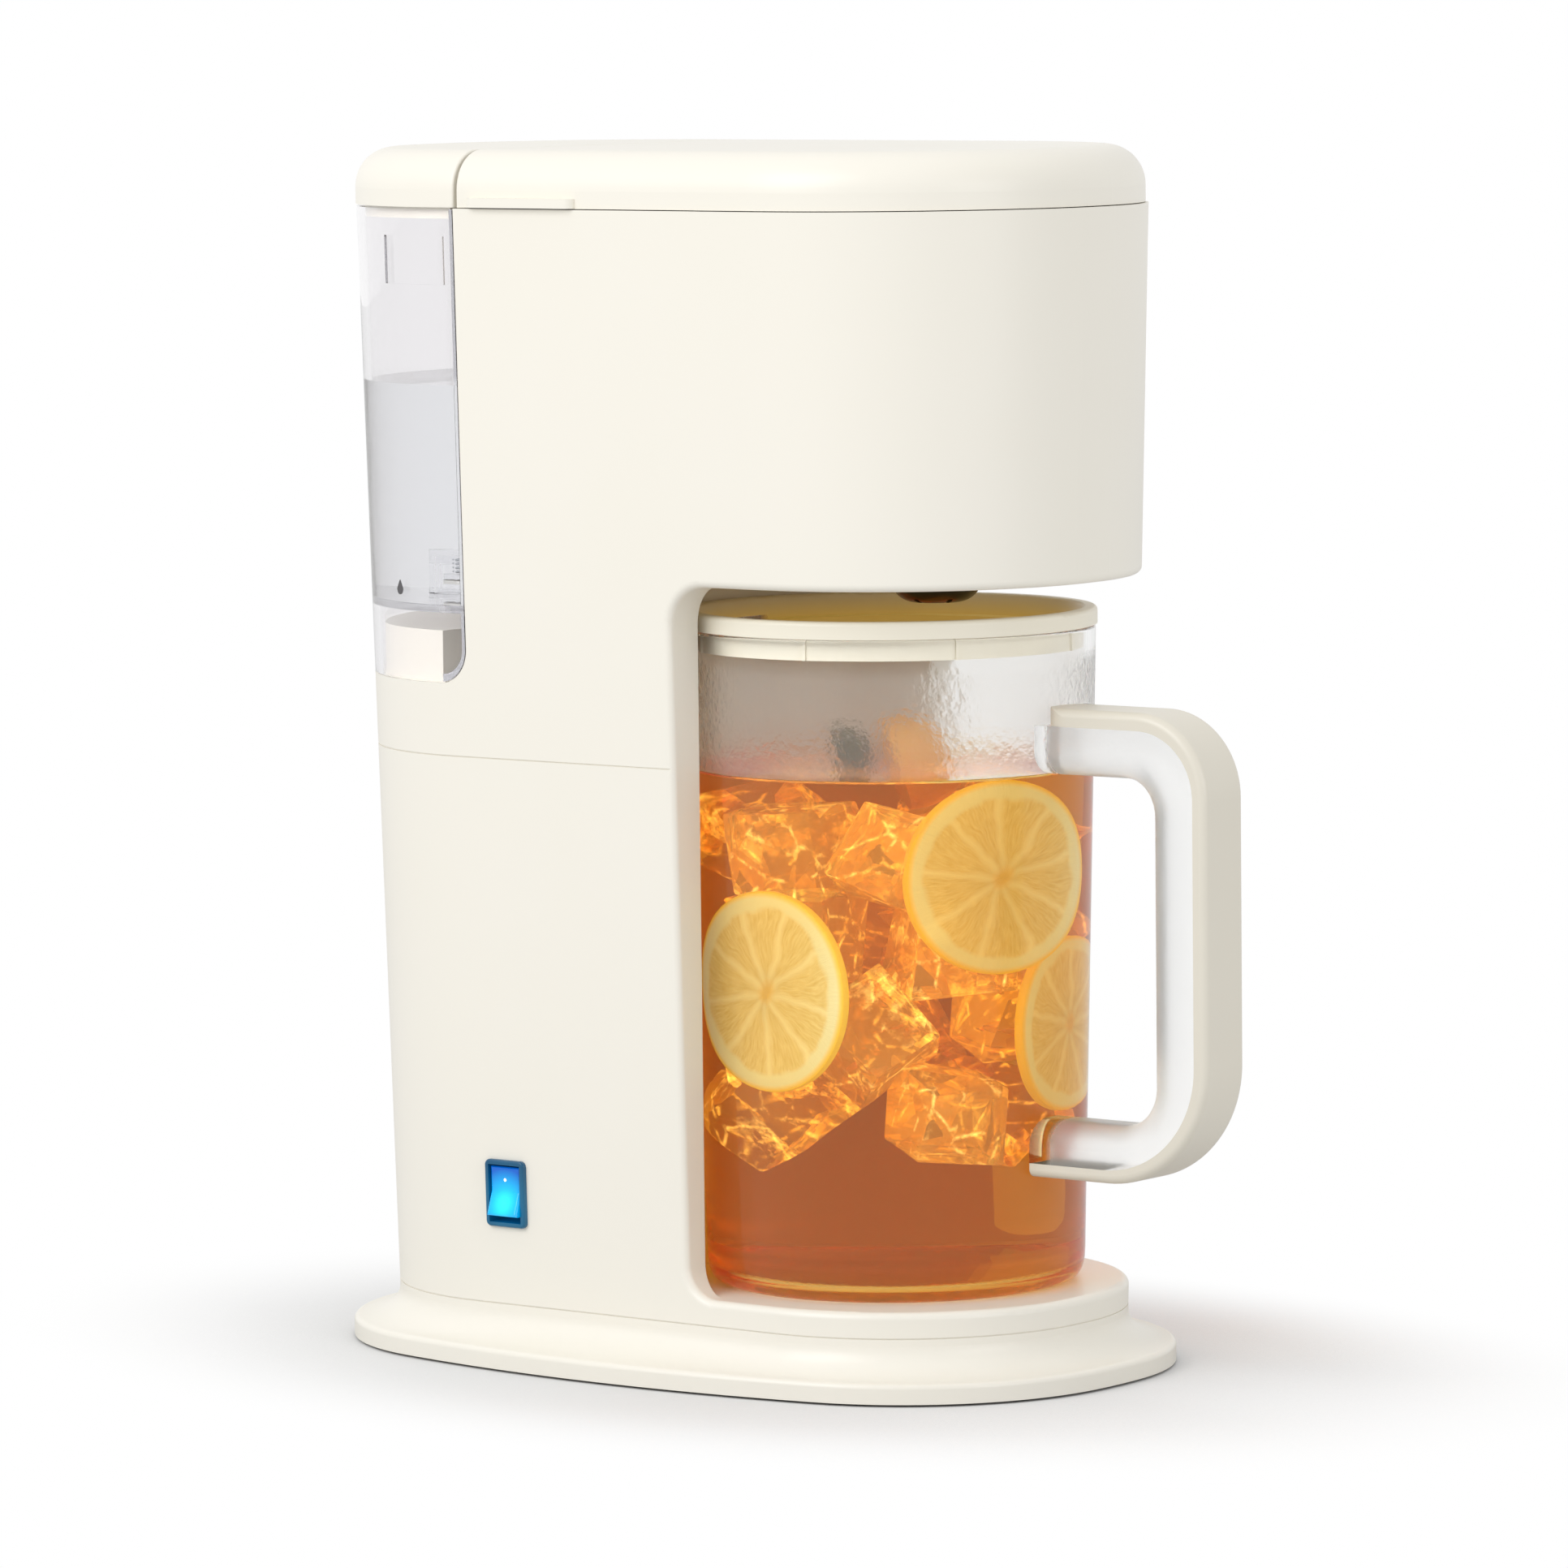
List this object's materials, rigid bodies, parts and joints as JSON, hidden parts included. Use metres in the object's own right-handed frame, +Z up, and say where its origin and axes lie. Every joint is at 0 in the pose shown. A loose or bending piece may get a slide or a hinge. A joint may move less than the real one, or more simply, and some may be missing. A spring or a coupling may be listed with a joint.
{
  "type": "iced tea maker",
  "caption": "Ivory iced tea maker with a clear lift-out water tank, hinged brew lid, lidded clear pitcher and a lit rocker switch.",
  "frame": {"origin": "middle of the bounding box's footprint, on the surface that the rubber feet stand on", "axes": "+Z up, -Y the front where the pitcher's handle points, +X the side with the brew lid's hinge"},
  "size_m": [0.1754, 0.3212, 0.3828],
  "materials": {
    "ivory_abs": "satin gloss",
    "ivory_grip": "satin gloss",
    "clear_san": "clear",
    "black_nylon": "matt",
    "grey_pp": "matt",
    "black_rubber": "matt",
    "white_silicone": "soft matt",
    "cast_aluminium": "as cast",
    "zinc_steel": "zinc plated",
    "steel_mesh": "woven",
    "switch_bezel": "gloss",
    "switch_lens": "gloss, lit"
  },
  "bodies": {
    "machine": {"foot_cover": "ivory_abs", "base_pan": "grey_pp", "rubber_feet": "black_rubber", "base_screws": "zinc_steel", "lower_housing": "ivory_abs", "upper_housing": "ivory_abs", "housing_screws": "zinc_steel", "switch_body": "switch_bezel", "cord_gland": "black_rubber", "terminal_block": "black_nylon", "heater": "cast_aluminium", "heater_strap": "zinc_steel", "heater_screws": "zinc_steel", "thermostat": "black_nylon", "thermal_fuses": "zinc_steel", "check_valve": "white_silicone", "inlet_hose": "white_silicone", "riser_hose": "white_silicone", "tank_port": "grey_pp", "port_seal": "white_silicone", "basket_well": "ivory_abs", "deck_screws": "zinc_steel", "outlet_nozzle": "black_nylon", "water_spout": "grey_pp", "lid_hinge_pin": "zinc_steel"},
    "brew_lid": {"brew_lid": "ivory_abs", "spray_channel": "grey_pp"},
    "basket": {"brew_basket": "black_nylon", "filter_frame": "black_nylon", "filter_mesh": "steel_mesh"},
    "tank": {"water_tank": "clear_san", "tank_valve_cage": "grey_pp"},
    "tank_lid": {"tank_lid": "ivory_abs"},
    "tank_valve": {"tank_valve_plunger": "grey_pp", "tank_valve_seal": "white_silicone", "tank_valve_spring": "zinc_steel"},
    "pitcher": {"pitcher": "clear_san", "handle_cover": "ivory_grip"},
    "pitcher_lid": {"pitcher_lid": "ivory_grip"},
    "rocker": {"switch_rocker": "switch_lens"}
  },
  "joints": [
    {"name": "brew_lid_hinge", "type": "hinge", "parent": "machine", "child": "brew_lid", "pos_m": [0.0813, 0.016, 0.3646], "axis": [0, 1, 0], "range_deg": [0, 105]},
    {"name": "basket_lift", "type": "slide", "parent": "machine", "child": "basket", "axis": [0, 0, 1], "range_m": [0, 0.012]},
    {"name": "tank_lift", "type": "slide", "parent": "machine", "child": "tank", "axis": [0, 0, 1], "range_m": [0, 0.2]},
    {"name": "tank_lid_lift", "type": "slide", "parent": "tank", "child": "tank_lid", "axis": [0, 0, 1], "range_m": [0, 0.06]},
    {"name": "tank_valve_travel", "type": "slide", "parent": "tank", "child": "tank_valve", "axis": [0, 0, 1], "range_m": [-0.003, 0], "deforming": ["tank_valve_spring"]},
    {"name": "pitcher_slide", "type": "slide", "parent": "machine", "child": "pitcher", "axis": [0, -1, 0], "range_m": [0, 0.2]},
    {"name": "pitcher_lid_turn", "type": "hinge", "parent": "pitcher", "child": "pitcher_lid", "pos_m": [0, -0.0345, 0.2364], "axis": [0, 0, 1], "range_deg": [0, 90]},
    {"name": "switch_rock", "type": "hinge", "parent": "machine", "child": "rocker", "pos_m": [-0.06809, 0.0654, 0.05437], "axis": [0, -1, 0], "range_deg": [0, 20]}
  ],
  "couplings": [
    {"joint": "tank_valve_travel", "follows": "tank_lift", "ratio": -0.015}
  ]
}
